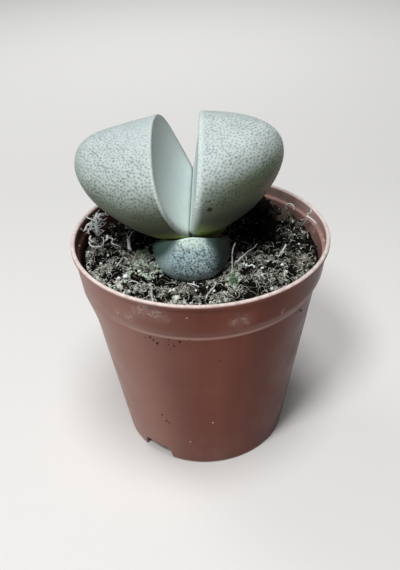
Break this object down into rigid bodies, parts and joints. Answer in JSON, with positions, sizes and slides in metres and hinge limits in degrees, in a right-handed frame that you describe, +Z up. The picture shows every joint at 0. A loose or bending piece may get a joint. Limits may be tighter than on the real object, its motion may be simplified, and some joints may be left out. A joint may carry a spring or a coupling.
{
  "type": "potted split rock",
  "caption": "Split rock succulent with swollen stone-like leaves and a deep fissure, growing in soil in a small tapered round nursery pot.",
  "frame": {"origin": "centre of the pot's foot, on the surface that it stands on", "axes": "+Z up, the pictured front faces -Y, +X to the viewer's right; the fissure between the leaves runs nearly along Y"},
  "size_m": [0.055, 0.055, 0.0747],
  "materials": {
    "pot_plastic": "satin brown terracotta-coloured plastic, thin and slightly dusty",
    "soil": "matt dark peat with crumbs, fibres and pale grains",
    "crown": "matt bark",
    "new_leaf": "matt waxy pale grey-green skin with many small dark dots",
    "old_leaf": "matt blue-grey skin with dense dark teal dots"
  },
  "bodies": {
    "root": {"pot": "pot_plastic", "soil": "soil", "crown_and_taproot": "crown", "new_leaf_left": "new_leaf", "new_leaf_right": "new_leaf", "old_leaf_front": "old_leaf", "old_leaf_back": "old_leaf"}
  },
  "joints": []
}
